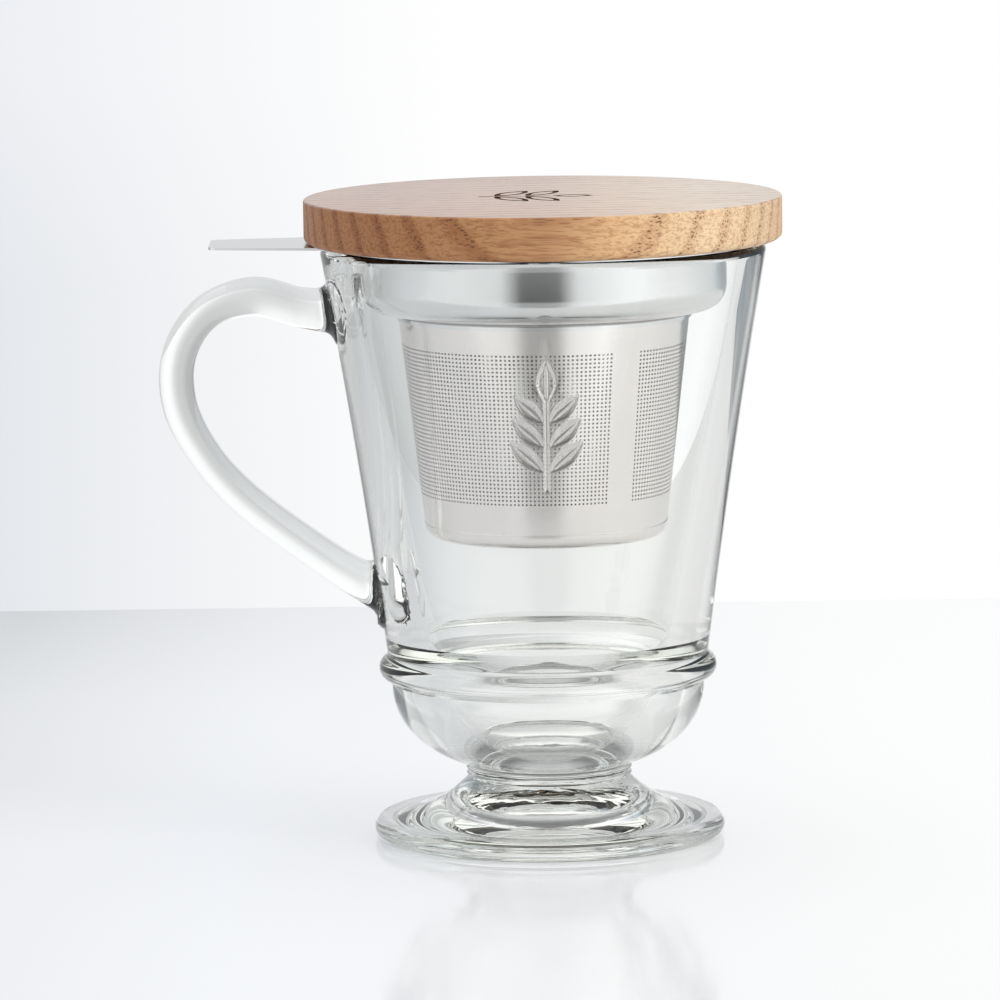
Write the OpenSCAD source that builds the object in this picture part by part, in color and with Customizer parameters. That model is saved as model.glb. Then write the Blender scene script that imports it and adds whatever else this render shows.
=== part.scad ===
// Lidded tea mug with a lift-out infuser: a footed pressed-glass mug with a drawn
// handle, a stainless steel basket hung on its rim, and a turned oak lid.
// Millimetres, +Z up. The origin is on the mug's axis, on the surface it stands on.
// The handle points to -X and the raised leaf sprig faces -Y.

/* [Glass cup] */
// Height of the glass rim above the table
rim_z = 117.8; // [112:0.1:122]
// Outer radius the wall would reach at the rim, before the rim is rounded
rim_r = 44.1; // [43:0.1:46]
// Outer radius of the neck, just above the bead
neck_r = 31.9; // [31:0.1:33]
// How far the outer wall sags inside a straight taper
wall_sag = 0.5; // [0:0.1:1]
// Inner radius at the mouth
mouth_r = 39.0; // [38.4:0.1:39.5]
// Inner radius at the crease above the bowl
crease_r = 24.4; // [23:0.1:25]
// Height of the inner crease
crease_z = 40.0; // [39:0.1:41]
// Height of the inner bottom in its middle
floor_z = 18.0; // [17:0.1:19]
// Inner radius of the bowl where its rounded bottom starts
bottom_r = 20.8; // [20:0.1:21.2]
// Height of the rounded bottom
bottom_h = 12.5; // [11:0.5:14]
// Exponent of the rounded bottom, 2 for an ellipse and more for a flatter floor
bottom_square = 2.15; // [2:0.05:2.5]

/* [Bead and bowl] */
// Radius of the bead ring's crown
bead_r = 33.4; // [33:0.1:34]
// Height of the bead ring's crown
bead_z = 33.9; // [33.5:0.1:34.3]
// Radius of the fillet between the bead and the wall above it
neck_fillet = 1.6; // [1.2:0.1:2]
// Widest outer radius of the bowl
bowl_r = 30.9; // [30:0.1:31.5]
// Height at which the bowl is widest
bowl_z = 31.0; // [30.5:0.1:31.5]
// Depth of the bowl below that height
bowl_drop = 18.4; // [18:0.1:19]
// Exponent of the bowl's curve, 2 for an ellipse and more for a squarer bowl
bowl_square = 2.25; // [2:0.05:2.5]

/* [Foot] */
// Radius of the foot's outer edge
foot_r = 34.7; // [33:0.1:36]
// Radius of the waist between the bowl and the foot
waist_r = 16.0; // [15.5:0.1:16.5]
// Height at which the foot's gather joins the bowl, between the two fine rings of the waist
waist_z = 13.1; // [12.8:0.1:13.2]
// How far the rings of the waist stand out
ring_rise = 0.4; // [0.2:0.05:0.6]
// Height of the foot's top face at its edge
foot_edge_z = 4.2; // [4:0.1:4.6]
// Radius of the hollow under the foot
hollow_r = 17.6; // [14:0.1:20]
// Depth of the hollow under the foot
hollow_z = 5.6; // [4:0.1:7]

/* [Handle] */
// Half width of the handle across its flat sides, at mid length
grip_half_w = 4.9; // [4:0.1:6]
// Roundness of the handle's section, 2 for an oval and more for a squarer one
grip_square = 2.6; // [2:0.1:3.5]

/* [Leaf sprig] */
// How far the sprig stands proud of the glass
relief = 0.7; // [0.4:0.1:1]
// Height of the lower end of the sprig's stem
sprig_z = 73.0; // [72:0.5:74]
// Height of the sprig
sprig_h = 26.0; // [25:0.5:27]
// Length of a side leaf
leaf_l = 9.4; // [8:0.1:10]
// Width of a side leaf
leaf_w = 3.0; // [2.6:0.1:3.6]
// Angle between a side leaf and the stem
leaf_lean = 48; // [40:1:60]

/* [Infuser] */
// Thickness of the pressed rim's steel
rim_t = 0.5; // [0.4:0.05:0.6]
// Radius of the flange that rests on the glass
flange_r = 43.0; // [42.5:0.1:43.5]
// Outer radius of the collar below the flange
collar_r = 36.3; // [36:0.1:36.5]
// Height of the underside of the collar's shoulder
shoulder_z = 105.2; // [104.8:0.1:105.6]
// Radius of the shoulder's bend
shoulder_bend = 5.0; // [4:0.1:5.5]
// Outer radius of the neck below the shoulder
sleeve_neck_r = 29.3; // [29:0.1:29.6]
// Distance from the axis to the tab's straight end
tab_reach = 65.5; // [62:0.5:68]
// Width of the tab at its end
tab_tip_w = 17.0; // [14:0.5:19]
// Width of the tab where it leaves the flange
tab_root_w = 25.0; // [22:0.5:28]
// Thickness of the etched sheet
sheet_t = 0.35; // [0.3:0.05:0.4]
// Outer radius of the etched sheet at its lower end
sheet_low_r = 24.1; // [23.8:0.1:24.4]
// Height of the weld between the sheet and the pressed base
weld_z = 63.2; // [62.8:0.1:63.6]
// Height of the underside of the base
base_z = 60.4; // [60:0.1:60.8]
// Outer radius of the bend round the base
base_bend = 2.5; // [2:0.1:2.6]

/* [Perforations] */
// Distance between the rows, and between the columns, of square holes
hole_pitch = 3.0; // [3:0.1:4]
// Side of a square hole
hole_side = 1.5; // [1:0.1:1.8]
// Lower edge of the perforated field
field_low = 69.0; // [66:0.5:72]
// Upper edge of the perforated field
field_high = 99.0; // [96:0.5:101]
// Width of the plain strip along the sheet's seam
seam_w = 5.5; // [4:0.5:8]
// Direction of the seam round the axis, counted from +X
seam_at = -57; // [-180:1:180]
// Radius of the perforated disc in the base
base_field_r = 19.0; // [15:0.5:20]

/* [Lid] */
// Radius of the oak board
lid_r = 47.0; // [45:0.1:48]
// Thickness of the oak board
lid_t = 8.6; // [8:0.1:10]
// Radius of the board's top edge
lid_top_round = 0.5; // [0.4:0.1:1.6]
// Radius of the board's bottom edge
lid_low_round = 1.4; // [0.8:0.1:2]
// Radius of the spigot that drops into the collar
spigot_r = 35.1; // [34.8:0.1:35.2]
// Depth of the spigot
spigot_h = 6.0; // [5.6:0.1:6.4]
// Outer radius of the silicone ring round the spigot
seal_r = 35.5; // [35.4:0.05:35.5]
// Height of the silicone ring
seal_h = 2.6; // [2:0.1:3]
// Depth of the groove that holds the silicone ring
groove_d = 1.6; // [1:0.1:2]

/* [Hidden] */
$fn = 96;

glass_colour = [0.86, 0.91, 0.90, 0.35];
steel_colour = [0.72, 0.73, 0.74];
oak_colour = [0.66, 0.47, 0.31];
silicone_colour = [0.93, 0.93, 0.90];

neck_z = 37.9;              // height at which the neck's radius is taken
wall_steps = 20;            // cone bands in the tapered wall
bowl_steps = 14;            // bands in the bowl's curve
bottom_steps = 12;          // bands in the rounded inner bottom
rim_round_out = 1.7;        // outer rounding of the fire-polished rim
rim_round_in = 1.2;         // inner rounding of the rim
rim_arc_start = 15;         // direction of the wall's face where the rim starts to round
mouth_flare = 0.25;         // how far the mouth widens in a short band below the rim
mouth_land = 1.0;           // height of that band
bead_round = 2.3;           // radius of the bead's section
bead_start = -58;           // direction of the bead's face where it meets the bowl
bowl_in_r = 21.6;           // inner radius at the lower end of the crease band
bowl_in_z = 35.6;           // height of that lower end
ring_share = 0.77;          // share of the height from the join to the bowl that a ring takes
ring_steps = 8;             // bands in each fine ring of the waist
lid_z = rim_z + rim_t;      // underside of the oak board, on the flange
cut = 0.01;                 // overshoot where a cutter leaves a face
big = 200;                  // longer than anything here

// Points of an arc in a profile, from angle a0 to angle a1 in n steps.
function arc(cx, cz, r, a0, a1, n = 8) =
    [for (i = [0:n]) let (a = a0 + (a1 - a0) * i / n) [cx + r * cos(a), cz + r * sin(a)]];

function reversed(list) = [for (i = [len(list) - 1:-1:0]) list[i]];

// A list of points without its first one, for a stretch that starts where another ends.
function after_first(list) = [for (i = [1:len(list) - 1]) list[i]];

// Outer radius of the tapered wall at height z: a straight taper with a slight sag.
function wall_r(z) =
    let (t = (z - neck_z) / (rim_z - neck_z))
    neck_r + (rim_r - neck_r) * t - wall_sag * 4 * t * (1 - t);

// Outer radius of the bowl at height z below its widest place.
function bowl_out(z) = bowl_r * pow(1 - pow((bowl_z - z) / bowl_drop, bowl_square), 1 / bowl_square);

// Height at which the bowl's curve has narrowed to the waist.
bowl_low_z = bowl_z - bowl_drop * pow(1 - pow(waist_r / bowl_r, bowl_square), 1 / bowl_square);
bowl_profile = [for (i = [0:bowl_steps])
    let (a = 90 * i / bowl_steps, z = bowl_low_z + (bowl_z - bowl_low_z) * (1 - cos(a)))
    [bowl_out(z), z]];

// One fine ring of the waist, as a wave from height low to the same radius a pitch above.
ring_pitch = ring_share * (bowl_low_z - waist_z);
function waist_ring(low) = [for (i = [0:ring_steps])
    [waist_r + ring_rise * (1 - cos(360 * i / ring_steps)) / 2, low + ring_pitch * i / ring_steps]];

// The fillet above the bead is a circle that touches the bead's section and the wall's line
// near the neck, which leans outwards by wall_slope. Its centre is where both distances hold.
wall_slope = (rim_r - neck_r - 4 * wall_sag) / (rim_z - neck_z);
wall_lean = atan(wall_slope);
bead_c = bead_r - bead_round;
fillet_line = neck_r + neck_fillet / cos(wall_lean) - wall_slope * neck_z - bead_c;
fillet_a = 1 + wall_slope * wall_slope;
fillet_b = fillet_line * wall_slope - bead_z;
fillet_c = pow(fillet_line, 2) + pow(bead_z, 2) - pow(bead_round + neck_fillet, 2);
fillet_z = (sqrt(fillet_b * fillet_b - fillet_a * fillet_c) - fillet_b) / fillet_a;
fillet_r = bead_c + fillet_line + wall_slope * fillet_z;
fillet_turn = atan2(fillet_z - bead_z, fillet_r - bead_c);
bead_profile = concat(
    arc(bead_c, bead_z, bead_round, bead_start, fillet_turn, 8),
    after_first(arc(fillet_r, fillet_z, neck_fillet, 180 + fillet_turn, 180 - wall_lean, 5)));

// The tapered wall's outer profile, from the fillet up to where the rim starts to round.
wall_low_z = fillet_z + neck_fillet * sin(wall_lean);
wall_top_z = rim_z - rim_round_out;
wall_profile = [for (i = [0:wall_steps])
    let (z = wall_low_z + (wall_top_z - wall_low_z) * i / wall_steps) [wall_r(z), z]];

// Outside of the cup from the waist up to the start of the rim.
outside_profile = concat(waist_ring(waist_z), bowl_profile, bead_profile, after_first(wall_profile));

// Inside of the cup from the mouth down to the middle of the rounded bottom.
inside_profile = concat(
    [[mouth_r, rim_z - rim_round_in - mouth_land], [crease_r, crease_z], [bowl_in_r, bowl_in_z]],
    [for (i = [0:bottom_steps])
        let (a = 90 * i / bottom_steps, power = 2 / bottom_square)
        [bottom_r * pow(cos(a), power), floor_z + bottom_h * (1 - pow(sin(a), power))]]);

module cup() {
    wall_top_r = wall_r(wall_top_z);
    rim_arc_out = arc(wall_top_r - rim_round_out, wall_top_z, rim_round_out, rim_arc_start, 90, 6);
    rim_in_c = mouth_r + mouth_flare + rim_round_in;
    rim_arc_in = arc(rim_in_c, rim_z - rim_round_in, rim_round_in, 90, 180, 5);
    color(glass_colour)
    rotate_extrude()
    polygon(concat([[0, waist_z]], outside_profile, rim_arc_out, rim_arc_in, inside_profile));
}

// Everything inside the cup's outer skin, used to cut what is fused onto it.
module cup_core() {
    rotate_extrude()
    polygon(concat([[0, waist_z]], outside_profile, [[0, wall_top_z]]));
}

module foot() {
    flare = 2.2;            // how quickly the foot flattens away from the waist
    flare_steps = 12;
    crowding = 1.4;         // sets the flare's points closer together near the waist
    edge_round = 2.1;       // rounding of the foot's edge
    ring_r = 31.0;          // inner radius of the ring that the mug stands on
    ring_bevel = 1.0;       // width of that ring's sloping inner side
    web_z = 0.9;            // underside of the foot between the ring and the hollow
    hollow_steps = 9;
    hollow_shape = 0.5;     // 1 for an elliptic hollow, less for a flatter crown
    edge_c = foot_r - edge_round;
    flare_h = waist_z - ring_pitch - foot_edge_z;
    flare_profile = [for (i = [flare_steps:-1:0])
        let (u = pow(i / flare_steps, crowding))
        [waist_r + (edge_c - waist_r) * u, foot_edge_z + flare_h * pow(1 - u, flare)]];
    color(glass_colour)
    rotate_extrude()
    polygon(concat(
        [[0, waist_z]],
        [for (i = [0:hollow_steps]) let (a = 90 * i / hollow_steps)
            [hollow_r * sin(a), web_z + (hollow_z - web_z) * pow(cos(a), hollow_shape)]],
        [[ring_r - ring_bevel, web_z], [ring_r, 0]],
        arc(edge_c, edge_round, edge_round, -90, 90, 10),
        flare_profile,
        after_first(waist_ring(waist_z - ring_pitch))));
}

// The handle's run in the XZ plane. Each station is [x, z, half depth, half width],
// from inside the upper wall round to inside the lower wall.
handle_run = [
    [-36.0, 104.5, 9.5, 8.0],
    [-42.6, 104.7, 5.6, 6.2],
    [-48.5, 105.3, 3.65, 5.1],
    [-57.2, 107.4, 3.5, grip_half_w],
    [-66.3, 104.5, 3.1, grip_half_w],
    [-72.4, 96.6, 2.8, grip_half_w],
    [-72.6, 86.4, 2.75, grip_half_w],
    [-67.6, 76.2, 3.0, grip_half_w],
    [-59.4, 67.0, 3.3, grip_half_w],
    [-46.5, 57.1, 3.4, 5.0],
    [-38.5, 51.8, 4.3, 5.8],
    [-28.0, 48.0, 7.0, 7.6]];

// Catmull-Rom curve through the stations of a run, n points per span.
function through(run, i, t) =
    let (a = run[max(i - 1, 0)], b = run[i], c = run[i + 1], d = run[min(i + 2, len(run) - 1)])
    0.5 * (2 * b + (c - a) * t + (2 * a - 5 * b + 4 * c - d) * t * t
        + (3 * b - a - 3 * c + d) * t * t * t);

module handle() {
    spans = len(handle_run) - 1;
    per_span = 4;
    sides = 20;
    stations = concat(
        [for (i = [0:spans - 1], j = [0:per_span - 1]) through(handle_run, i, j / per_span)],
        [handle_run[spans]]);
    rings = len(stations);
    // One ring of the section, square to the run, as a rounded oval.
    function soft(v) = sign(v) * pow(abs(v), 2 / grip_square);
    points = [for (k = [0:rings - 1])
        let (s = stations[k],
             run = stations[min(k + 1, rings - 1)] - stations[max(k - 1, 0)],
             side = [-run[1], run[0]] / norm([run[0], run[1]]))
        for (q = [0:sides - 1])
            let (a = 360 * (q + 0.5) / sides, depth = s[2] * soft(cos(a)))
            [s[0] + side[0] * depth, s[3] * soft(sin(a)), s[1] + side[1] * depth]];
    skin = [for (k = [0:rings - 2], q = [0:sides - 1])
        let (a = k * sides + q, b = k * sides + (q + 1) % sides)
        [a, b, b + sides, a + sides]];
    caps = [[for (q = [sides - 1:-1:0]) q], [for (q = [0:sides - 1]) (rings - 1) * sides + q]];
    color(glass_colour)
    difference() {
        polyhedron(points, concat(skin, caps));
        cup_core();
    }
}

// A pointed leaf of length l and width w, its lower tip at the origin, growing along +Y.
module leaf(l, w) {
    r = (l * l + w * w) / (4 * w);
    translate([0, l / 2])
    intersection() {
        translate([r - w / 2, 0]) circle(r);
        translate([w / 2 - r, 0]) circle(r);
    }
}

module leaf_relief() {
    pairs = 3;
    stem_w = 0.9;
    first_pair = 3.5;       // height of the lowest pair of leaves up the stem
    pair_gap = 4.9;
    pair_shrink = 0.6;      // how much shorter each pair is than the one below it
    tip_l = 9.4;            // the leaf at the stem's end
    tip_w = 3.6;
    stem_in_tip = 1.0;      // how far the stem runs up into that leaf
    color(glass_colour)
    intersection() {
        rotate([90, 0, 0])
        linear_extrude(big)
        translate([0, sprig_z])
        union() {
            translate([-stem_w / 2, 0]) square([stem_w, sprig_h - tip_l + stem_in_tip]);
            translate([0, sprig_h - tip_l]) leaf(tip_l, tip_w);
            for (i = [0:pairs - 1], s = [-1, 1])
                translate([0, first_pair + i * pair_gap])
                rotate(s * leaf_lean)
                leaf(leaf_l - i * pair_shrink, leaf_w);
        }
        rotate_extrude()
        polygon(concat(wall_profile, reversed([for (p = wall_profile) [p[0] + relief, p[1]]])));
    }
}

neck_bend = 0.8;            // bend between the shoulder and the neck
sleeve_neck_h = 1.6;        // height of the neck, which holds the etched sheet
lip_z = shoulder_z - sleeve_neck_h;
sheet_top_z = shoulder_z - neck_bend;
sheet_top_r = sleeve_neck_r - rim_t;

// Outer radius of the etched sheet's cone at height z.
function sheet_r(z) =
    sheet_low_r + (sheet_top_r - sheet_low_r) * (z - weld_z) / (sheet_top_z - weld_z);

// One side of the pressed rim's sheet: o is 0 for its outer face and rim_t for its inner one.
function collar_side(o) =
    let (lip_bend = 1.3)
    concat(
        [[flange_r, rim_z + o]],
        arc(collar_r + lip_bend, rim_z - lip_bend, lip_bend + o, 90, 180, 6),
        arc(collar_r - shoulder_bend, shoulder_z + shoulder_bend, shoulder_bend - o, 0, -90, 10),
        arc(sleeve_neck_r + neck_bend, shoulder_z - neck_bend, neck_bend + o, 90, 180, 4),
        [[sheet_r(lip_z) + rim_t - o, lip_z]]);

// Half of the tab's outline, from the middle of its end to its root: a rounded corner, a
// straight edge that spreads towards the flange, and a fillet that runs into the flange.
function tab_edge() =
    let (corner = 1.6, fillet = 4, inset = 3, root_x = inset - flange_r,
         slope = (tab_root_w - tab_tip_w) / 2 / (tab_reach + root_x),
         lean = atan(slope),
         k = tab_tip_w / 2 + slope * tab_reach + fillet / cos(lean),
         reach = flange_r + fillet,
         a = 1 + slope * slope,
         cx = (-slope * k - sqrt(pow(slope * k, 2) - a * (k * k - reach * reach))) / a,
         cy = slope * cx + k)
    concat(
        reversed(arc(corner - tab_reach, tab_tip_w / 2 - corner, corner, 90 + lean, 180, 5)),
        arc(cx, cy, fillet, lean - 90, atan2(-cy, -cx), 6),
        [[root_x, cy - fillet]]);

module infuser_rim() {
    edge = tab_edge();
    color(steel_colour) {
        rotate_extrude() polygon(concat(collar_side(0), reversed(collar_side(rim_t))));
        difference() {
            translate([0, 0, rim_z])
            linear_extrude(rim_t)
            polygon(concat(edge, [for (p = reversed(edge)) [p[0], -p[1]]]));
            translate([0, 0, rim_z - cut]) cylinder(h = rim_t + 2 * cut, r = flange_r - 1);
        }
    }
}

// A stretch of the etched sheet between two heights.
module sheet_band(low, high) {
    rotate_extrude()
    polygon([[sheet_r(high), high], [sheet_r(low), low],
             [sheet_r(low) - sheet_t, low], [sheet_r(high) - sheet_t, high]]);
}

// The sheet is plain above and below its field of holes and along its seam. Each row of
// holes is cut in a band of its own, and every row has the same number of columns.
module infuser_wall() {
    rows = floor((field_high - field_low) / hole_pitch);
    mid_r = sheet_r((field_low + field_high) / 2);
    columns = floor((2 * PI * mid_r - seam_w) / hole_pitch);
    seam_angle = seam_w / mid_r * 180 / PI;
    step = (360 - seam_angle) / columns;
    color(steel_colour) {
        sheet_band(weld_z, field_low);
        for (k = [0:rows - 1]) let (low = field_low + hole_pitch * k, z = low + hole_pitch / 2)
            difference() {
                sheet_band(low, low + hole_pitch);
                for (c = [0:columns - 1])
                    rotate([0, 0, seam_at + seam_angle / 2 + step * (c + 0.5)])
                    translate([sheet_r(z) - 2, -hole_side / 2, z - hole_side / 2])
                    cube([4, hole_side, hole_side]);
            }
        sheet_band(field_low + rows * hole_pitch, sheet_top_z);
    }
}

// One side of the pressed base's sheet: o is 0 for its outer face.
function base_side(o) = concat(
    [[sheet_low_r - o, weld_z]],
    arc(sheet_low_r - base_bend, base_z + base_bend, base_bend - o, 0, -90, 6),
    [[0, base_z + o]]);

module infuser_base() {
    n = floor(base_field_r / hole_pitch);
    color(steel_colour)
    difference() {
        rotate_extrude() polygon(concat(base_side(0), reversed(base_side(sheet_t))));
        for (i = [-n:n], j = [-n:n]) if (norm([i, j]) * hole_pitch < base_field_r)
            translate([i * hole_pitch, j * hole_pitch, base_z])
            cube([hole_side, hole_side, 3 * sheet_t], center = true);
    }
}

groove_lift = 1.3;          // from the spigot's lower face to the groove
seal_low_z = lid_z - spigot_h + groove_lift;
groove_r = spigot_r - groove_d;

module lid_board() {
    chamfer = 0.6;
    top_z = lid_z + lid_t;
    color(oak_colour)
    rotate_extrude()
    polygon(concat(
        [[0, lid_z - spigot_h], [spigot_r - chamfer, lid_z - spigot_h],
         [spigot_r, lid_z - spigot_h + chamfer],
         [spigot_r, seal_low_z], [groove_r, seal_low_z],
         [groove_r, seal_low_z + seal_h], [spigot_r, seal_low_z + seal_h],
         [spigot_r, lid_z]],
        arc(lid_r - lid_low_round, lid_z + lid_low_round, lid_low_round, -90, 0, 6),
        arc(lid_r - lid_top_round, top_z - lid_top_round, lid_top_round, 0, 90, 6),
        [[0, top_z]]));
}

module lid_seal() {
    crown = seal_r - spigot_r;
    bands = 6;
    color(silicone_colour)
    rotate_extrude()
    polygon(concat(
        [[groove_r, seal_low_z], [spigot_r, seal_low_z]],
        [for (i = [1:bands - 1]) let (a = 180 * i / bands)
            [spigot_r + crown * sin(a), seal_low_z + seal_h * i / bands]],
        [[spigot_r, seal_low_z + seal_h], [groove_r, seal_low_z + seal_h]]));
}

cup();
foot();
handle();
leaf_relief();
infuser_rim();
infuser_wall();
infuser_base();
lid_board();
lid_seal();
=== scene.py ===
from math import atan2, cos, degrees, hypot, pi, radians, sin, sqrt

import bmesh
import bpy
from mathutils import Matrix, Vector, noise


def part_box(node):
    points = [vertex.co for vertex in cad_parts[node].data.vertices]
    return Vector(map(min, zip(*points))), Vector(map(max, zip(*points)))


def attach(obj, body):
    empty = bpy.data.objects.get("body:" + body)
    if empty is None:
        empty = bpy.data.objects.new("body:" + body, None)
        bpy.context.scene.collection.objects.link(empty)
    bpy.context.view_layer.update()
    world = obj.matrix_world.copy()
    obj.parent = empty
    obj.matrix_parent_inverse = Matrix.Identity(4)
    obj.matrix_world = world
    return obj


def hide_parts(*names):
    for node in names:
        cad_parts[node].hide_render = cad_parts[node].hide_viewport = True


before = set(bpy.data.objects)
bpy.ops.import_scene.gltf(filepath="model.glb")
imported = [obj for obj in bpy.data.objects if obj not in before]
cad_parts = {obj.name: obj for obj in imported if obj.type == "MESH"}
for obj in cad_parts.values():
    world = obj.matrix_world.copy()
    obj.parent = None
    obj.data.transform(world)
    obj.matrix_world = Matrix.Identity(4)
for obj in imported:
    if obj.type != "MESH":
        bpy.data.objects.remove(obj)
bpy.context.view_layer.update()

# ------------------------------------------------------------------ glass mug
# The mug is one body of clear soda-lime glass: a pressed cup, with a foot and a drawn handle
# fused on while hot, and every edge soft from fire polishing. Meshes are sized in millimetres
# until to_object() brings them to metres.
MM = 0.001

waist_z, rim_z = (corner.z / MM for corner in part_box("cup"))
foot_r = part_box("foot")[1].x / MM
rim_r, rim_round_out, rim_round_in, rim_start = 44.1, 1.7, 1.2, 15
neck_r, neck_z, wall_sag = 31.9, 37.9, 0.5
mouth_r, mouth_flare, mouth_land = 39.0, 0.25, 1.0
crease_r, crease_z = 24.4, 40.0
bowl_in_r, bowl_in_z = 21.6, 35.6
floor_z, bottom_r, bottom_h, bottom_square = 18.0, 20.8, 12.5, 2.15
bowl_r, bowl_z, bowl_drop, bowl_square = 30.9, 31.0, 18.4, 2.25
bead_r, bead_z, bead_round, bead_start = 33.4, 33.9, 2.3, -58
neck_fillet = 1.6
waist_r, ring_rise, ring_share = 16.0, 0.4, 0.77
foot_edge_z, foot_edge_round, foot_flare, flare_crowding = 4.2, 2.1, 2.2, 1.4
ring_r, ring_bevel, web_z = 31.0, 1.0, 0.9
hollow_r, hollow_z, hollow_shape = 17.6, 5.6, 0.5
glass_segments = 240


def steps(first, last, count):
    """Values in equal steps, with both ends."""
    return [first + (last - first) * i / count for i in range(count + 1)]


def arc(centre_r, centre_z, radius, start, end, count):
    """Points of an arc in a profile, between two angles in degrees."""
    angles = [radians(angle) for angle in steps(start, end, count)]
    return [(centre_r + radius * cos(a), centre_z + radius * sin(a)) for a in angles]


def straight(start, end, count):
    """Points along a straight stretch of a profile, without its end."""
    return [tuple(Vector(start).lerp(Vector(end), t)) for t in steps(0, 1, count)[:-1]]


def turn(bm, profile, segments, closed=False):
    """Turns a profile of (radius, height) points round the Z axis, with its faces outwards."""
    corners = [bm.verts.new((r, 0, z)) for r, z in profile]
    sides = [bm.edges.new(pair) for pair in zip(corners, corners[1:])]
    if closed:
        sides.append(bm.edges.new((corners[-1], corners[0])))
    bmesh.ops.spin(bm, geom=corners + sides, axis=(0, 0, 1), cent=(0, 0, 0),
                   steps=segments, angle=2 * pi, use_merge=True)
    bmesh.ops.remove_doubles(bm, verts=bm.verts[:], dist=1e-4)
    bmesh.ops.recalc_face_normals(bm, faces=bm.faces[:])


def wall_r(z):
    """Outer radius of the tapered wall at a height: a straight taper with a slight sag."""
    t = (z - neck_z) / (rim_z - neck_z)
    return neck_r + (rim_r - neck_r) * t - wall_sag * 4 * t * (1 - t)


def bowl_out(z):
    """Outer radius of the bowl at a height below its widest place."""
    return bowl_r * (1 - ((bowl_z - z) / bowl_drop) ** bowl_square) ** (1 / bowl_square)


# The hollow under the foot, the ring it stands on, its edge and the flare up to the waist. The
# points of the flare lie closer together near the waist.
hollow_side = [(hollow_r * sin(a), web_z + (hollow_z - web_z) * abs(cos(a)) ** hollow_shape)
               for a in steps(0, pi / 2, 24)]
edge_r = foot_r - foot_edge_round
bowl_low_z = bowl_z - bowl_drop * (1 - (waist_r / bowl_r) ** bowl_square) ** (1 / bowl_square)
ring_pitch = ring_share * (bowl_low_z - waist_z)
flare_h = waist_z - ring_pitch - foot_edge_z
flare = [(waist_r + (edge_r - waist_r) * u, foot_edge_z + flare_h * (1 - u) ** foot_flare)
         for u in (share ** flare_crowding for share in steps(1, 0, 30))]

# Two fine rings at the waist, and the bowl up to its widest place.
waist_rings = [(waist_r + ring_rise * (1 - cos(2 * pi * t)) / 2, waist_z + ring_pitch * t)
               for t in steps(-1, 1, 24)]
bowl_side = [(bowl_out(z), z) for z in (bowl_low_z + (bowl_z - bowl_low_z) * (1 - cos(a))
                                        for a in steps(0, pi / 2, 30))]

# The fillet over the bead is a circle that touches the bead's section and the wall's line
# near the neck. Its centre is the upper place where both distances hold.
wall_slope = (rim_r - neck_r - 4 * wall_sag) / (rim_z - neck_z)
wall_lean = atan2(wall_slope, 1)
bead_c = bead_r - bead_round
line_r = neck_r + neck_fillet / cos(wall_lean) - wall_slope * neck_z - bead_c
a, b = 1 + wall_slope ** 2, line_r * wall_slope - bead_z
c = line_r ** 2 + bead_z ** 2 - (bead_round + neck_fillet) ** 2
fillet_z = (sqrt(b ** 2 - a * c) - b) / a
fillet_r = bead_c + line_r + wall_slope * fillet_z
fillet_turn = degrees(atan2(fillet_z - bead_z, fillet_r - bead_c))
wall_low_z, wall_top_z = fillet_z + neck_fillet * sin(wall_lean), rim_z - rim_round_out

inner_bottom = [(bottom_r * abs(cos(a)) ** (2 / bottom_square),
                 floor_z + bottom_h * (1 - sin(a) ** (2 / bottom_square)))
                for a in steps(0, pi / 2, 50)]
glass_profile = (
    hollow_side
    + straight(hollow_side[-1], (ring_r - ring_bevel, web_z), 6)[1:]
    + [(ring_r - ring_bevel, web_z), (ring_r, 0)]
    + arc(edge_r, foot_edge_round, foot_edge_round, -90, 90, 28)
    + flare
    + waist_rings[1:]
    + bowl_side
    + arc(bead_c, bead_z, bead_round, bead_start, fillet_turn, 24)
    + arc(fillet_r, fillet_z, neck_fillet, 180 + fillet_turn, 180 - degrees(wall_lean), 14)[1:]
    + [(wall_r(z), z) for z in steps(wall_low_z, wall_top_z, 48)[1:]]
    + arc(wall_r(wall_top_z) - rim_round_out, wall_top_z, rim_round_out, rim_start, 90, 14)
    + arc(mouth_r + mouth_flare + rim_round_in, rim_z - rim_round_in, rim_round_in, 90, 180, 14)
    + straight((mouth_r, rim_z - rim_round_in - mouth_land), (crease_r, crease_z), 8)
    + straight((crease_r, crease_z), (bowl_in_r, bowl_in_z), 3)
    + [(bowl_in_r, bowl_in_z)]
    + inner_bottom)
glass = bmesh.new()
turn(glass, glass_profile, glass_segments)

# The handle is drawn from a gather in one run, from the upper joint round to the lower one, and
# each end spreads on the wall where it is fused. A station is (x, z, half depth, half width).
handle_run = [
    (-36.0, 104.6, 4.6, 5.6),
    (-42.6, 104.9, 4.3, 5.4),
    (-48.5, 105.7, 3.9, 5.1),
    (-57.2, 107.8, 3.85, 4.9),
    (-66.4, 104.8, 3.4, 4.9),
    (-71.8, 96.6, 3.4, 4.9),
    (-71.85, 86.4, 3.45, 4.9),
    (-66.8, 76.2, 3.25, 4.9),
    (-58.5, 67.0, 3.35, 4.9),
    (-45.5, 57.1, 3.4, 5.0),
    (-37.6, 51.8, 3.7, 5.2),
    (-28.0, 46.5, 4.4, 5.6)]
grip_square = 2.6
handle_sides = 56
handle_steps = 14
joint_round = 2.2


def curve_point(stations, i, t):
    """Point of a Catmull-Rom curve, at t of the way from station i to the next one."""
    a, b, c, d = (Vector(stations[min(max(k, 0), len(stations) - 1)]) for k in range(i - 1, i + 3))
    return (2 * b + (c - a) * t + (2 * a - 5 * b + 4 * c - d) * t ** 2
            + (3 * b - a - 3 * c + d) * t ** 3) / 2


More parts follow.
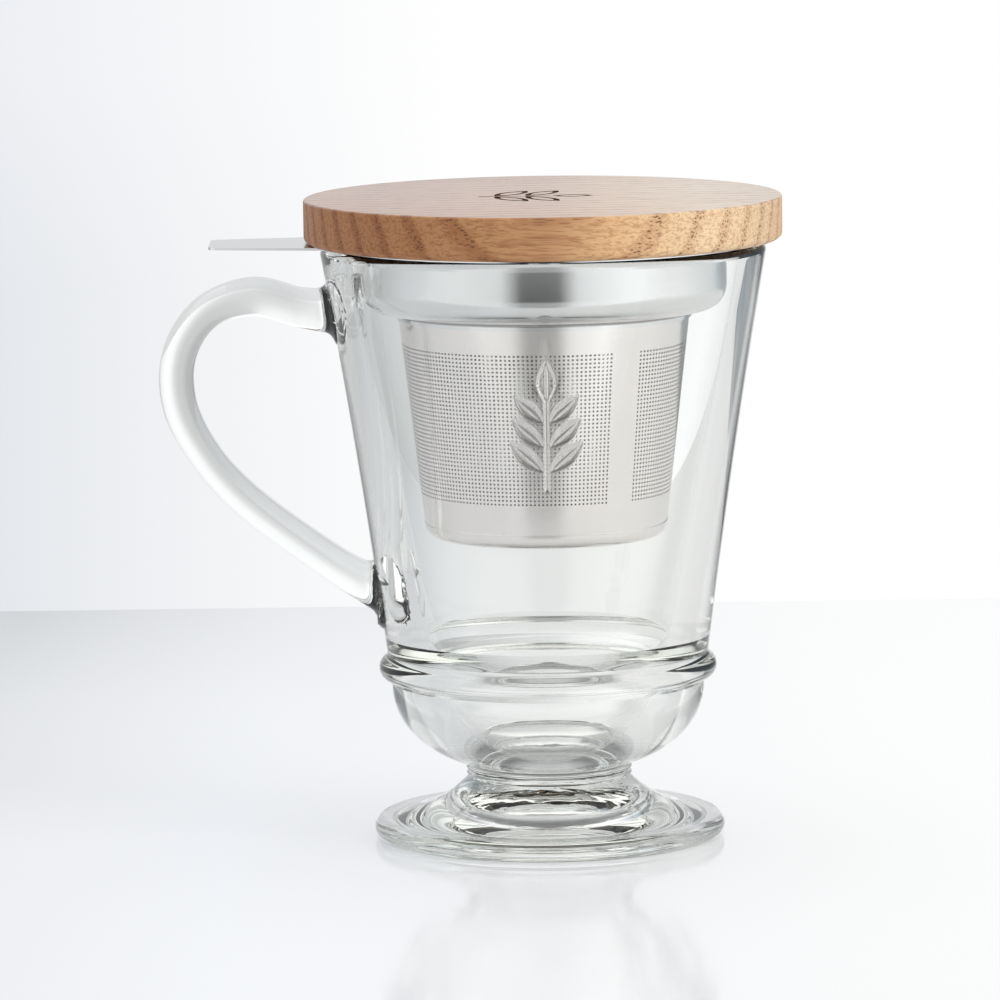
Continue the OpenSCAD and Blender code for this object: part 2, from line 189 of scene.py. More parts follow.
def superellipse(angle, square):
    """Point of a rounded oval of half width 1, squarer for a higher exponent."""
    return [abs(v) ** (2 / square) * (1 if v > 0 else -1) for v in (cos(angle), sin(angle))]


def loft(bm, rings):
    """A closed solid through rings of equally many points."""
    start = bmesh.ops.create_circle(bm, segments=len(rings[0]), radius=1, cap_ends=False)["verts"]
    for corner, point in zip(start, rings[0]):
        corner.co = point
    edges = list({edge for corner in start for edge in corner.link_edges})
    bmesh.ops.edgeloop_fill(bm, edges=edges)
    order = start
    for ring in rings[1:]:
        grown = bmesh.ops.extrude_edge_only(bm, edges=edges)["geom"]
        edges = [item for item in grown if isinstance(item, bmesh.types.BMEdge)
                 and not any(corner in order for corner in item.verts)]
        order = [next(edge.other_vert(corner) for edge in corner.link_edges
                      if edge.other_vert(corner) in grown) for corner in order]
        for corner, point in zip(order, ring):
            corner.co = point
    bmesh.ops.edgeloop_fill(bm, edges=edges)
    bmesh.ops.recalc_face_normals(bm, faces=bm.faces[:])


def spread(point, centre):
    """Moves a point of the handle away from its centre line near the wall, as a round fillet."""
    gap = hypot(point.x, point.y) - wall_r(point.z)
    if gap > joint_round:
        return point
    outward = joint_round - sqrt(joint_round ** 2 - (joint_round - max(gap, 0)) ** 2)
    return point + (point - centre).normalized() * outward


def boolean(bm, other, operation):
    """Joins a mesh with another one or cuts it, and frees the other."""
    solids = []
    for part in (bm, other):
        solids.append(bpy.data.objects.new("solid", bpy.data.meshes.new("solid")))
        part.to_mesh(solids[-1].data)
        bpy.context.scene.collection.objects.link(solids[-1])
    modifier = solids[0].modifiers.new("boolean", "BOOLEAN")
    modifier.operation, modifier.solver, modifier.object = operation, "EXACT", solids[1]
    result = solids[0].evaluated_get(bpy.context.evaluated_depsgraph_get())
    bm.clear()
    bm.from_mesh(result.to_mesh())
    other.free()
    for solid in solids:
        bpy.data.meshes.remove(solid.data)


stations = [curve_point(handle_run, i, j / handle_steps)
            for i in range(len(handle_run) - 1) for j in range(handle_steps)]
turns = [2 * pi * (k + 0.5) / handle_sides for k in range(handle_sides)]
section = [superellipse(angle, grip_square) for angle in turns]
rings = []
for before, here, after in zip(stations, stations[1:], stations[2:]):
    along = Vector((after[0] - before[0], 0, after[1] - before[1])).normalized()
    across = Vector((-along.z, 0, along.x))
    centre = Vector((here[0], 0, here[1]))
    rings.append([spread(centre + across * here[2] * u + Vector((0, here[3] * v, 0)), centre)
                  for u, v in section])
handle = bmesh.new()
loft(handle, rings)
boolean(glass, handle, "UNION")

# The raised sprig on the front is pressed with the cup: the wall there is divided finely, and
# each point is lifted by the height of the stem or the leaf that it lies on.
relief = 0.85
sprig_z, sprig_h = 73.0, 26.0
leaf_l, leaf_w, leaf_lean = 9.4, 3.0, 48
tip_l, tip_w = 9.4, 3.6
first_pair, pair_gap, pair_shrink = 3.5, 4.9, 0.6
stem_half_w, stem_share, stem_end, stem_overlap = 0.5, 0.8, 0.5, 2
edge_slope_w, edge_share, midrib_half_w, midrib_depth = 0.45, 0.62, 0.3, 0.55
stalk_share = 0.06
patch_half_w, patch_margin, patch_skin, patch_cuts = 10.5, 2, 0.3, 5
sprig_leaves = [(sprig_h - tip_l, 0, tip_l, tip_w)] + [
    (first_pair + i * pair_gap, side * leaf_lean, leaf_l - i * pair_shrink, leaf_w)
    for i in range(3) for side in (-1, 1)]


def leaf_height(u, v, root, lean, length, width):
    """Height of a leaf at a place: steep edges, a roof towards its middle and a sunk midrib."""
    turned = Matrix.Rotation(-radians(lean), 2) @ Vector((u, v - root))
    along, across = turned.y / length, abs(turned.x)
    if not stalk_share < along < 1:
        return 0
    half = width / 2 * sin(pi * (along - stalk_share) / (1 - stalk_share))
    if across >= half:
        return 0
    edge = min(1, (half - across) / edge_slope_w)
    roof = edge_share + (1 - edge_share) * (1 - across / half)
    midrib = midrib_depth * max(0, 1 - across / midrib_half_w)
    return relief * sqrt(edge) * (roof - midrib)


def sprig_height(u, v):
    """Height of the sprig at a place on the unrolled wall, from the stem's lower end."""
    stem = 0
    if 0 < v < sprig_h - tip_l + stem_overlap and abs(u) < stem_half_w:
        stem = stem_share * relief * sqrt(1 - (u / stem_half_w) ** 2) * min(1, v / stem_end)
    return max([stem] + [leaf_height(u, v, *leaf) for leaf in sprig_leaves])


def on_sprig(corner):
    """Whether a point of the glass is on the outer wall round the sprig."""
    x, y, z = corner.co
    on_front = y < 0 and abs(x) < patch_half_w and hypot(x, y) > wall_r(z) - patch_skin
    return on_front and sprig_z - patch_margin < z < sprig_z + sprig_h + patch_margin


patch = [face for face in glass.faces if all(on_sprig(corner) for corner in face.verts)]
bmesh.ops.subdivide_edges(glass, edges=list({edge for face in patch for edge in face.edges}),
                          cuts=patch_cuts, use_grid_fill=True)
for corner in glass.verts:
    if on_sprig(corner):
        angle = atan2(corner.co.x, -corner.co.y)
        radius = wall_r(corner.co.z)
        radius += sprig_height(radius * angle, corner.co.z - sprig_z)
        corner.co.x, corner.co.y = radius * sin(angle), -radius * cos(angle)

# The hollow under the foot is where the gather was cut from the iron, so its crown is wavy.
crown_wave, crown_r, crown_fade = 0.05, hollow_r - 0.4, 2
waves_x, waves_y = 0.35, 1.1
for corner in glass.verts:
    x, y, z = corner.co
    if hypot(x, y) < crown_r and web_z < z < hollow_z + crown_wave:
        fade = min(1, (crown_r - hypot(x, y)) / crown_fade)
        corner.co.z += crown_wave * fade * noise.noise(Vector((x * waves_x, y * waves_y, 0)))

# The handle, its joints and the sprig have no creases. The pressed cup keeps its fine ones.
drawn_to_x, drawn_half_w, drawn_from_z = -28, 14, 42
soft_limit, pressed_limit = 60, 7.8
for face in glass.faces:
    face.smooth = True
for edge in glass.edges:
    middle = (edge.verts[0].co + edge.verts[1].co) / 2
    on_handle = middle.x < drawn_to_x and abs(middle.y) < drawn_half_w and middle.z > drawn_from_z
    limit = soft_limit if on_handle or on_sprig(edge.verts[0]) else pressed_limit
    edge.smooth = edge.calc_face_angle(0) < radians(limit)


def to_object(bm, name, *materials):
    """Makes an object in metres of a mesh in millimetres, and frees the mesh."""
    bmesh.ops.scale(bm, vec=(MM, MM, MM), verts=bm.verts[:])
    made = bpy.data.objects.new(name, bpy.data.meshes.new(name))
    bm.to_mesh(made.data)
    bm.free()
    for material in materials:
        made.data.materials.append(material)
    bpy.context.scene.collection.objects.link(made)
    return made


class Socket:
    """An output in a material's node tree. Its operators add Math nodes, and add() any node."""

    def __init__(self, tree, output=None):
        self.tree, self.output = tree, output

    def add(self, kind, settings=None, inputs=None, output=0):
        """One of the outputs of a new node. Its settings are set before its inputs."""
        node = self.tree.nodes.new("ShaderNode" + kind)
        for name, value in (settings or {}).items():
            if name == "stops":
                ramp = node.color_ramp.elements
                while len(ramp) < len(value):
                    ramp.new(0.5)
                for stop, (place, colour) in zip(ramp, value):
                    stop.position, stop.color = place, (*colour, 1)
            else:
                setattr(node, name, value)
        for name, value in (inputs or {}).items():
            if isinstance(value, Socket):
                self.tree.links.new(value.output, node.inputs[name])
            else:
                node.inputs[name].default_value = value
        return Socket(self.tree, node.outputs[output] if node.outputs else None)

    def math(self, operation, *others):
        """A Math node on this socket and others."""
        return self.add("Math", {"operation": operation}, dict(enumerate((self, *others))))

    def outputs(self):
        """All outputs of this socket's node."""
        return [Socket(self.tree, output) for output in self.output.node.outputs]

    def split(self):
        """The three parts of a vector."""
        return self.add("SeparateXYZ", {}, {0: self}).outputs()

    def mix(self, first, second):
        """A colour between two others, with this socket as the factor."""
        return self.add("Mix", {"data_type": "RGBA"}, {0: self, 6: first, 7: second}, 2)

    def tint(self, colour):
        """This colour times another one."""
        settings = {"data_type": "RGBA", "blend_type": "MULTIPLY"}
        return self.add("Mix", settings, {0: 1.0, 6: self, 7: colour}, 2)

    def ramp(self, *stops):
        """A colour ramp of this socket. A stop is (place, colour) or (place, grey)."""
        colours = [(p, c if isinstance(c, tuple) else (c, c, c)) for p, c in stops]
        return self.add("ValToRGB", {"stops": colours}, {0: self})

    def __add__(self, other):
        return self.math("ADD", other)

    def __sub__(self, other):
        return self.math("SUBTRACT", other)

    def __rsub__(self, other):
        return self.add("Math", {"operation": "SUBTRACT"}, {0: other, 1: self})

    def __mul__(self, other):
        return self.math("MULTIPLY", other)

    def __truediv__(self, other):
        return self.math("DIVIDE", other)

    __radd__ = __add__
    __rmul__ = __mul__


def new_material(name):
    """A material with no nodes yet, and a start for adding them."""
    material = bpy.data.materials.new(name)
    material.use_nodes = True
    material.node_tree.nodes.clear()
    return material, Socket(material.node_tree)


def set_surface(start, shader, **others):
    """Links a shader, and others such as a volume, to the material's output."""
    start.add("OutputMaterial", {}, {"Surface": shader, **others})


clear_glass, start = new_material("clear_glass")
skin = start.add("BsdfPrincipled", {}, {
    "Base Color": (0.99, 0.995, 0.985, 1), "Roughness": 0.0, "IOR": 1.5,
    "Transmission Weight": 1.0})
depth = start.add("VolumeAbsorption", {}, {"Color": (0.79, 0.815, 0.72, 1), "Density": 8.0})
set_surface(start, skin, Volume=depth)
mug = to_object(glass, "glass_mug", clear_glass)
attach(mug, "mug")
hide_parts("cup", "foot", "handle", "leaf_relief")

# --------------------------------------------------------------- infuser rim
# One pressing of 0.5 mm stainless steel: a flange that hangs on the glass, a collar, a round
# shoulder and a short neck. The tab for lifting it is part of the flange. It is barrel polished.
rim_t = 0.5
flange_r, collar_r, lip_bend = 43.0, 36.3, 1.3
shoulder_z, shoulder_bend = 105.2, 5.0
sleeve_neck_r, neck_bend, neck_h = 29.3, 0.8, 1.6
lip_z = shoulder_z - neck_h
sheet_t = 0.35
weld_z, sheet_low_r = 63.2, 24.1
sheet_top_z, sheet_top_r = shoulder_z - neck_bend, sleeve_neck_r - rim_t
tab_reach, tab_tip_w, tab_root_w = 65.5, 17.0, 25.0
tab_corner, tab_fillet, tab_overlap = 1.6, 4.0, 3.0
edge_soft = 0.12


def sheet_r(z):
    """Outer radius of the etched sheet's cone at a height."""
    return sheet_low_r + (sheet_top_r - sheet_low_r) * (z - weld_z) / (sheet_top_z - weld_z)


def collar_side(inward):
    """One side of the pressing: inward is 0 for the outer face and rim_t for the inner one."""
    return ([(flange_r, rim_z + inward)]
            + arc(collar_r + lip_bend, rim_z - lip_bend, lip_bend + inward, 90, 180, 12)
            + arc(collar_r - shoulder_bend, shoulder_z + shoulder_bend, shoulder_bend - inward,
                  0, -90, 24)
            + arc(sleeve_neck_r + neck_bend, shoulder_z - neck_bend, neck_bend + inward, 90, 180, 8)
            + [(sheet_r(lip_z) + rim_t - inward, lip_z)])


def shade(bm, limit):
    """Shades a mesh smooth, with sharp edges where it bends by more than limit degrees."""
    for face in bm.faces:
        face.smooth = True
    for edge in bm.edges:
        edge.smooth = len(edge.link_faces) == 2 and edge.calc_face_angle(0) < radians(limit)


def extrude_up(bm, faces, height):
    """Raises faces by a height, with walls round them and the faces themselves left below."""
    grown = bmesh.ops.extrude_face_region(bm, geom=faces)["geom"]
    bmesh.ops.translate(bm, vec=(0, 0, height),
                        verts=[item for item in grown if isinstance(item, bmesh.types.BMVert)])


pressing = bmesh.new()
turn(pressing, collar_side(0) + collar_side(rim_t)[::-1], 240, closed=True)

# The tab's sides spread towards the flange, and a fillet joins each of them to it. The fillet's
# centre lies its own radius off the side's line and off the flange's edge.
root_x = tab_overlap - flange_r
spread_out = (tab_root_w - tab_tip_w) / 2 / (tab_reach + root_x)
lean = atan2(spread_out, 1)
offset = tab_tip_w / 2 + spread_out * tab_reach + tab_fillet / cos(lean)
square_sum = 1 + spread_out ** 2
fillet_x = (-spread_out * offset - sqrt((spread_out * offset) ** 2
            - square_sum * (offset ** 2 - (flange_r + tab_fillet) ** 2))) / square_sum
fillet_y = spread_out * fillet_x + offset
tip_curve = arc(tab_corner - tab_reach, tab_tip_w / 2 - tab_corner, tab_corner,
                90 + degrees(lean), 180, 8)
root_curve = arc(fillet_x, fillet_y, tab_fillet,
                 degrees(lean) - 90, degrees(atan2(-fillet_y, -fillet_x)), 10)
half_edge = tip_curve[::-1] + root_curve + [(root_x, fillet_y - tab_fillet)]
outline = half_edge + [(x, -y) for x, y in half_edge[::-1]]
tab = bmesh.new()
underside = tab.faces.new([tab.verts.new((x, y, rim_z)) for x, y in outline])
extrude_up(tab, [underside], rim_t)
bmesh.ops.recalc_face_normals(tab, faces=tab.faces[:])
boolean(pressing, tab, "UNION")
bmesh.ops.dissolve_degenerate(pressing, edges=pressing.edges[:], dist=1e-3)
shade(pressing, 12)


def steel(name, colour, roughness, grain, painted_shade_bands=()):
    """Polished steel. grain scales its noise along each axis, and a band of painted shade is (low,
    high).
    """
    material, start = new_material(name)
    place = start.add("TexCoord", output="Object")
    height = place.split()[2] / MM
    streaks = start.add("Mapping", {}, {"Vector": place, "Scale": grain})
    fine = start.add("TexNoise", {}, {"Vector": streaks, "Scale": 1.0, "Detail": 4.0})
    cloud = start.add("TexNoise", {}, {"Vector": place, "Scale": 60.0, "Detail": 2.0})
    bright = cloud.mix((*[c * 0.95 for c in colour], 1), (*colour, 1))
    # Each band is painted shade: there the steel's colour is mixed towards a dark grey.
    for low, high in painted_shade_bands:
        from_middle = (height - (low + high) / 2).math("ABSOLUTE")
        band = from_middle.ramp(((high - low) / 2, 0.75), (high - low, 0.0))
        bright = band.mix(bright, (0.20, 0.19, 0.18, 1))
    set_surface(start, start.add("BsdfPrincipled", {}, {
        "Base Color": bright,
        "Metallic": 1.0,
        "Roughness": roughness + 0.08 * (fine - 0.5) + 0.05 * (cloud - 0.5),
        "Normal": start.add("Bump", {}, {"Height": fine, "Strength": 0.06, "Distance": 0.00002})}))
    return material


# The bend of the neck, where the shoulder overhangs the sheet, gets a dark band of painted shade.
neck_shade_band = (shoulder_z - 0.7, shoulder_z - 0.2)
rim_steel = steel("rim_steel", (0.80, 0.805, 0.81), 0.14, (300, 300, 2500), [neck_shade_band])
infuser_rim = to_object(pressing, "infuser_rim_pressing", rim_steel)
soft_edge = infuser_rim.modifiers.new("soft_edge", "BEVEL")
soft_edge.width, soft_edge.segments, soft_edge.limit_method = edge_soft * MM, 2, "ANGLE"
soft_edge.angle_limit = radians(50)
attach(infuser_rim, "infuser")
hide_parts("infuser_rim")

# -------------------------------------------------------------- etched sheet
# A cone of 0.35 mm stainless sheet. Its square holes are etched through before it is rolled, and
# it stays plain along the seam, where it is butt welded, and above and below the holes.
field_low, field_high = 69.0, 99.0
hole_columns, hole_rows = 200, 38
hole_side = 0.35
seam_w, seam_at, seam_columns = 5.5, radians(-57), 6

# A square grid takes the angle of each column and the height of each row, the cells of its
# field become the holes, and its two ends are merged at the edge of the seam.
seam_angle = seam_w / sheet_r((field_low + field_high) / 2)
field_start, field_end = seam_at + seam_angle / 2, seam_at + 2 * pi - seam_angle / 2
angles = (steps(field_start, field_end, hole_columns)[:-1]
          + steps(field_end, field_start + 2 * pi, seam_columns))
heights = [weld_z] + steps(field_low, field_high, hole_rows) + [sheet_top_z]
columns, rows = len(angles) - 1, len(heights) - 1
sheet = bmesh.new()
bmesh.ops.create_grid(sheet, x_segments=columns, y_segments=rows, size=1)
cells = []
for face in sheet.faces:
    middle = face.calc_center_median()
    column, row = (middle.x + 1) / 2 * columns, (middle.y + 1) / 2 * rows
    if column < hole_columns and 1 < row < hole_rows + 1:
        cells.append(face)
for corner in sheet.verts:
    angle = angles[round((corner.co.x + 1) / 2 * columns)]
    z = heights[round((corner.co.y + 1) / 2 * rows)]
    corner.co = (sheet_r(z) * cos(angle), sheet_r(z) * sin(angle), z)
bmesh.ops.remove_doubles(sheet, verts=sheet.verts[:], dist=1e-3)
pitch = (field_high - field_low) / hole_rows
half_web = (pitch - hole_side) / 2
bmesh.ops.inset_individual(sheet, faces=cells, thickness=half_web, use_even_offset=True)
bmesh.ops.delete(sheet, geom=cells, context="FACES")
bmesh.ops.recalc_face_normals(sheet, faces=sheet.faces[:])
bmesh.ops.solidify(sheet, geom=sheet.faces[:], thickness=sheet_t)
shade(sheet, 30)
sheet_steel = steel("sheet_steel", (0.88, 0.845, 0.83), 0.17, (400, 400, 400))
etched_sheet = to_object(sheet, "etched_sheet", sheet_steel)
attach(etched_sheet, "infuser")
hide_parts("infuser_wall")

# -------------------------------------------------------------- pressed base
# The bottom of the basket is pressed from the same sheet, with a round bend, and is perforated
# inside the bend. A narrow weld joins it to the cone.
base_z, base_bend = 60.4, 2.5
base_field_r = 19.0
base_flat_r = sheet_low_r - base_bend
grid_cut_r, grid_r = base_flat_r - 1.2 * pitch, base_flat_r - 0.6
weld_bead, weld_rise = 0.12, 0.05

# The flat bottom is a square grid cut to a circle, and its cells become the holes.
base_cells = int(2 * base_flat_r / pitch)
base = bmesh.new()
bmesh.ops.create_grid(base, x_segments=base_cells, y_segments=base_cells,
                      size=base_cells * pitch / 2)
outside = [face for face in base.faces if face.calc_center_median().length > grid_cut_r]
bmesh.ops.delete(base, geom=outside, context="FACES")
for corner in base.verts:
    if corner.is_boundary:
        corner.co *= grid_r / corner.co.length
cells = [face for face in base.faces if face.calc_center_median().length < base_field_r]
bmesh.ops.inset_individual(base, faces=cells, thickness=half_web, use_even_offset=True)
rim_edges = [edge for edge in base.edges if edge.is_boundary]
bmesh.ops.delete(base, geom=cells, context="FACES_ONLY")
bmesh.ops.translate(base, vec=(0, 0, base_z), verts=base.verts[:])

# The bend and the bead of the weld are turned, and bridged to the flat bottom.
bend = arc(base_flat_r, base_z + base_bend, base_bend, -90, 0, 12)
weld = arc(sheet_low_r, weld_z + weld_rise, weld_bead, -80, 90, 6)
dish = bmesh.new()
turn(dish, bend + weld, 160)
ring = bpy.data.meshes.new("ring")
dish.to_mesh(ring)
dish.free()
base.from_mesh(ring)
bpy.data.meshes.remove(ring)
bend_low = Vector((base_flat_r, base_z))
rim_edges += [edge for edge in base.edges if edge.is_boundary and all(
    (Vector((corner.co.xy.length, corner.co.z)) - bend_low).length < 1e-3
    for corner in edge.verts)]
bmesh.ops.bridge_loops(base, edges=rim_edges)
bmesh.ops.remove_doubles(base, verts=base.verts[:], dist=1e-3)
bmesh.ops.recalc_face_normals(base, faces=base.faces[:])
bmesh.ops.solidify(base, geom=base.faces[:], thickness=sheet_t)
shade(base, 30)
pressed_base = to_object(base, "pressed_base", sheet_steel)
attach(pressed_base, "infuser")
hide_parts("infuser_base")

# ----------------------------------------------------------------- oak lid
# A disc turned from one oak board, with a spigot below that drops into the collar. The fibres
# run along X, so the ends of the disc show the pores of each year's early wood, and its front
# shows long grain. It is oiled, and a leafy twig is burnt into the middle of its top.
lid_low, lid_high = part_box("lid_board")
lid_r, lid_top_z = lid_high.x / MM, lid_high.z / MM
lid_z = rim_z + rim_t
lid_top_round, lid_low_round = 0.5, 1.4
spigot_r, spigot_z, spigot_chamfer = 35.1, lid_low.z / MM, 0.6
seal_rise, seal_h, groove_r = 1.3, 2.6, 33.5
seal_low = spigot_z + seal_rise
board = bmesh.new()
turn(board, [(0, spigot_z), (spigot_r - spigot_chamfer, spigot_z),
             (spigot_r, spigot_z + spigot_chamfer),
             (spigot_r, seal_low), (groove_r, seal_low), (groove_r, seal_low + seal_h),
             (spigot_r, seal_low + seal_h), (spigot_r, lid_z)]
     + arc(lid_r - lid_low_round, lid_z + lid_low_round, lid_low_round, -90, 0, 10)
     + arc(lid_r - lid_top_round, lid_top_z - lid_top_round, lid_top_round, 0, 90, 8)
     + [(0, lid_top_z)], 240)

# The engraved twig lies along the fibres: a stem, and the outlines of its leaves.
engraved_depth, line_w, leaf_gap = 0.3, 1.0, 0.7
engraved_z, cut_top_z = lid_top_z - engraved_depth, lid_top_z - 0.01
twig_l, twig_leaf_l, twig_leaf_w, twig_lean, twig_tip_l = 20.0, 12.5, 4.8, 60, 8.0
stem_low, stem_high = -2.5, twig_l - twig_tip_l - leaf_gap / 2
pair_roots = (0.4, 6.5)
lens_point, lens_tip_share = 0.35, 0.8
twig_leaves = [(twig_l - twig_tip_l - leaf_gap, 0, twig_tip_l, twig_leaf_w)] + [
    (root, side * twig_lean, twig_leaf_l, twig_leaf_w) for root in pair_roots for side in (-1, 1)]
engraving = bmesh.new()


def lens(bm, root, lean, length, width, inset):
    """A loop round a pointed leaf, drawn in from its outline by an inset."""
    loop = bmesh.ops.create_circle(bm, segments=32, radius=1, cap_ends=False)["verts"]
    turned = Matrix.Translation((0, root, 0)) @ Matrix.Rotation(radians(lean), 4, "Z")
    reach = length / 2 - inset * length / width * lens_tip_share
    for corner in loop:
        side = (width / 2 - inset) * corner.co.x * (1 - corner.co.y ** 2) ** lens_point
        corner.co = turned @ Vector((side, leaf_gap + length / 2 + reach * corner.co.y, 0))
    return list({edge for corner in loop for edge in corner.link_edges})


for leaf in twig_leaves:
    leaf_edges = lens(engraving, *leaf, 0) + lens(engraving, *leaf, line_w)
    bmesh.ops.bridge_loops(engraving, edges=leaf_edges)
stem_corners = [(-line_w / 2, stem_low), (line_w / 2, stem_low),
                (line_w / 3, stem_high), (-line_w / 3, stem_high)]
engraving.faces.new([engraving.verts.new((u, v, 0)) for u, v in stem_corners])
extrude_up(engraving, engraving.faces[:], 2 * engraved_depth)
twig_place = Matrix.Translation((-twig_l / 2, 0, engraved_z)) @ Matrix.Rotation(-pi / 2, 4, "Z")
bmesh.ops.transform(engraving, matrix=twig_place, verts=engraving.verts[:])
bmesh.ops.recalc_face_normals(engraving, faces=engraving.faces[:])
boolean(board, engraving, "DIFFERENCE")
for face in board.faces:
    middle = face.calc_center_median()
    in_cut = lid_z < middle.z < cut_top_z and middle.xy.length < twig_l
    face.material_index = int(in_cut)
shade(board, 25)

oak, start = new_material("oiled_oak")
place = start.add("VectorMath", {"operation": "SCALE"},
                  {0: start.add("TexCoord", output="Object"), "Scale": 1 / MM})
x, y, z = place.split()


def wood_noise(scale, detail, stretch, offset=0.0, slope=0.0):
    """Noise of a scale in mm, longer along the fibres by a stretch, and sloping down."""
    where = start.add("CombineXYZ", {}, {0: x / stretch + offset, 1: y, 2: z + slope * x})
    return start.add("TexNoise", {}, {"Vector": where, "Scale": 1 / scale, "Detail": detail})


def pores(size, stretch, offset, bore):
    """Cut vessels: round on the ends of the board, and long dashes on its faces."""
    where = start.add("CombineXYZ", {}, {0: x / stretch + offset, 1: y, 2: z})
    cells = start.add("TexVoronoi", {"feature": "F1"},
                      {"Vector": where, "Scale": 1 / size, "Randomness": 1.0})
    return cells.ramp((bore, 1.0), (bore + 0.14, 0.0))


# The years' rings lean in the board, and run a little askew to its fibres.
year_w, year_lean, year_skew, first_year = 5.1, 0.29, 0.045, 47.3
drift = 1.6 * (wood_noise(20, 1, 4) - 0.5) + 0.5 * (wood_noise(2.5, 2, 8) - 0.5)
year = (y + year_lean * (lid_top_z - z) - year_skew * x + first_year + drift) / year_w
phase = (year + 0.5).math("FRACT")
early = phase.ramp((0.26, 0.0), (0.36, 1.0), (0.50, 0.9), (0.72, 0.0))
big_pores = pores(0.52, 9, 0, 0.25) * early
small_pores = 0.35 * pores(0.34, 18, 7, 0.17)
fibre = wood_noise(0.30, 2, 40)
streak = wood_noise(0.7, 3, 40, 31).ramp((0.50, 0.0), (0.60, 1.0))
ray_line = wood_noise(0.45, 1, 30, 50, 0.06).ramp((0.57, 0.0), (0.61, 1.0))
top = (z - (lid_top_z - lid_top_round / 2)).math("GREATER_THAN", 0.0)

# The ground tone runs from dark red-brown at the left to pale gold at the right. Part of it is the
# oak's own tone and part is painted light and shade, as if lit from the right. The rings fade to
# the right.
across = x / (2 * lid_r) + 0.5
ground = across.ramp(
    (0.0, (0.55, 0.27, 0.125)), (0.14, (0.50, 0.24, 0.105)), (0.36, (0.58, 0.31, 0.140)),
    (0.50, (0.60, 0.33, 0.160)), (0.64, (0.78, 0.51, 0.27)), (0.83, (0.86, 0.66, 0.42)),
    (1.0, (0.72, 0.54, 0.35)))
dark = ground.tint((0.56, 0.42, 0.32, 1))
ring_depth = across.ramp((0.55, 0.70), (0.72, 0.42))

# Each year's early wood is darker, with large open pores. The top has had more oil than the
# edge, so it is darker and glossier.
colour = (ring_depth * early).mix(ground, dark)
colour = (0.5 * fibre).mix(colour, dark)
colour = (0.48 * streak).mix(colour, ground.tint((0.58, 0.42, 0.38, 1)))
colour = (0.55 * ray_line).mix(colour, dark)
colour = (0.85 * big_pores.math("MAXIMUM", small_pores)).mix(colour, (0.13, 0.055, 0.024, 1))
height = 0.5 * fibre - 1.0 * big_pores - 0.5 * small_pores
set_surface(start, start.add("BsdfPrincipled", {}, {
    "Base Color": (0.6 * top).mix(colour, colour.tint((0.60, 0.60, 0.66, 1))),
    "Roughness": 0.46 - 0.16 * top + 0.12 * (fibre - 0.5) + 0.2 * big_pores,
    "Specular IOR Level": 0.35, "Coat Weight": 0.8 * top, "Coat Roughness": 0.22,
    "Normal": start.add("Bump", {}, {"Height": height, "Strength": 0.5, "Distance": 0.00012})}))

burnt_oak, start = new_material("burnt_oak")
place = start.add("TexCoord", output="Object")
char = start.add("TexNoise", {}, {"Vector": place, "Scale": 2500.0})
set_surface(start, start.add("BsdfPrincipled", {}, {
    "Base Color": char.mix((0.030, 0.016, 0.010, 1), (0.12, 0.06, 0.035, 1)), "Roughness": 0.8}))

lid = to_object(board, "oak_lid", oak, burnt_oak)
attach(lid, "lid")
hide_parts("lid_board")

# ------------------------------------------------------------- silicone ring
# A soft ring in the groove of the spigot. It is moulded in one piece, with two round lips that
# centre the lid in the collar.
seal_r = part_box("lid_seal")[1].x / MM
lip = seal_h / 4
seal = bmesh.new()
turn(seal, [(groove_r, seal_low)]
     + arc(seal_r - lip, seal_low + lip, lip, -90, 90, 10)
     + arc(seal_r - lip, seal_low + 3 * lip, lip, -90, 90, 10)
     + [(groove_r, seal_low + seal_h)], 160, closed=True)
shade(seal, 40)
silicone, start = new_material("silicone")
place = start.add("TexCoord", output="Object")
dust = start.add("TexNoise", {}, {"Vector": place, "Scale": 900.0, "Detail": 3.0})
set_surface(start, start.add("BsdfPrincipled", {}, {
    "Base Color": dust.mix((0.80, 0.80, 0.76, 1), (0.88, 0.88, 0.85, 1)),
    "Roughness": 0.45 + 0.2 * (dust - 0.5),
    "Subsurface Weight": 0.2, "Subsurface Scale": 0.002,
    "Normal": start.add("Bump", {}, {"Height": dust, "Strength": 0.1, "Distance": 0.0001})}))
lid_ring = to_object(seal, "silicone_ring", silicone)
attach(lid_ring, "lid")
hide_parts("lid_seal")

# --------------------------------------------------------------------- table
# A glossy white table that ends behind the mug and in front of it. Part of its white is its own
# glow, painted light that dims towards the left and the back, so that the mug's shadow on it is
# faint. A painted shadow darkens it in a ring under the foot, but not under the middle of it.
table_back, table_front, table_w = 311, -185, 2600
shaded_share = 0.30
shade_w, glow_depth = 0.25, 0.31
table = bmesh.new()
bmesh.ops.create_grid(table, x_segments=1, y_segments=1, size=0.5)
bmesh.ops.scale(table, vec=(table_w, table_back - table_front, 1), verts=table.verts[:])
bmesh.ops.translate(table, vec=(0, (table_back + table_front) / 2, 0), verts=table.verts[:])
white_table, start = new_material("white_table")
x, y, z = start.add("TexCoord", output="Object").split()


def ray(start, name):
    """One of the outputs that tell by what kind of ray a thing is seen."""
    return start.add("LightPath", output=name)


def seen(start):
    """1 for the rays that an eye, a mirror or glass sees by, and 0 for those that light things."""
    mirrored = ray(start, "Is Glossy Ray").math("MAXIMUM", ray(start, "Is Transmission Ray"))
    return ray(start, "Is Camera Ray").math("MAXIMUM", mirrored)


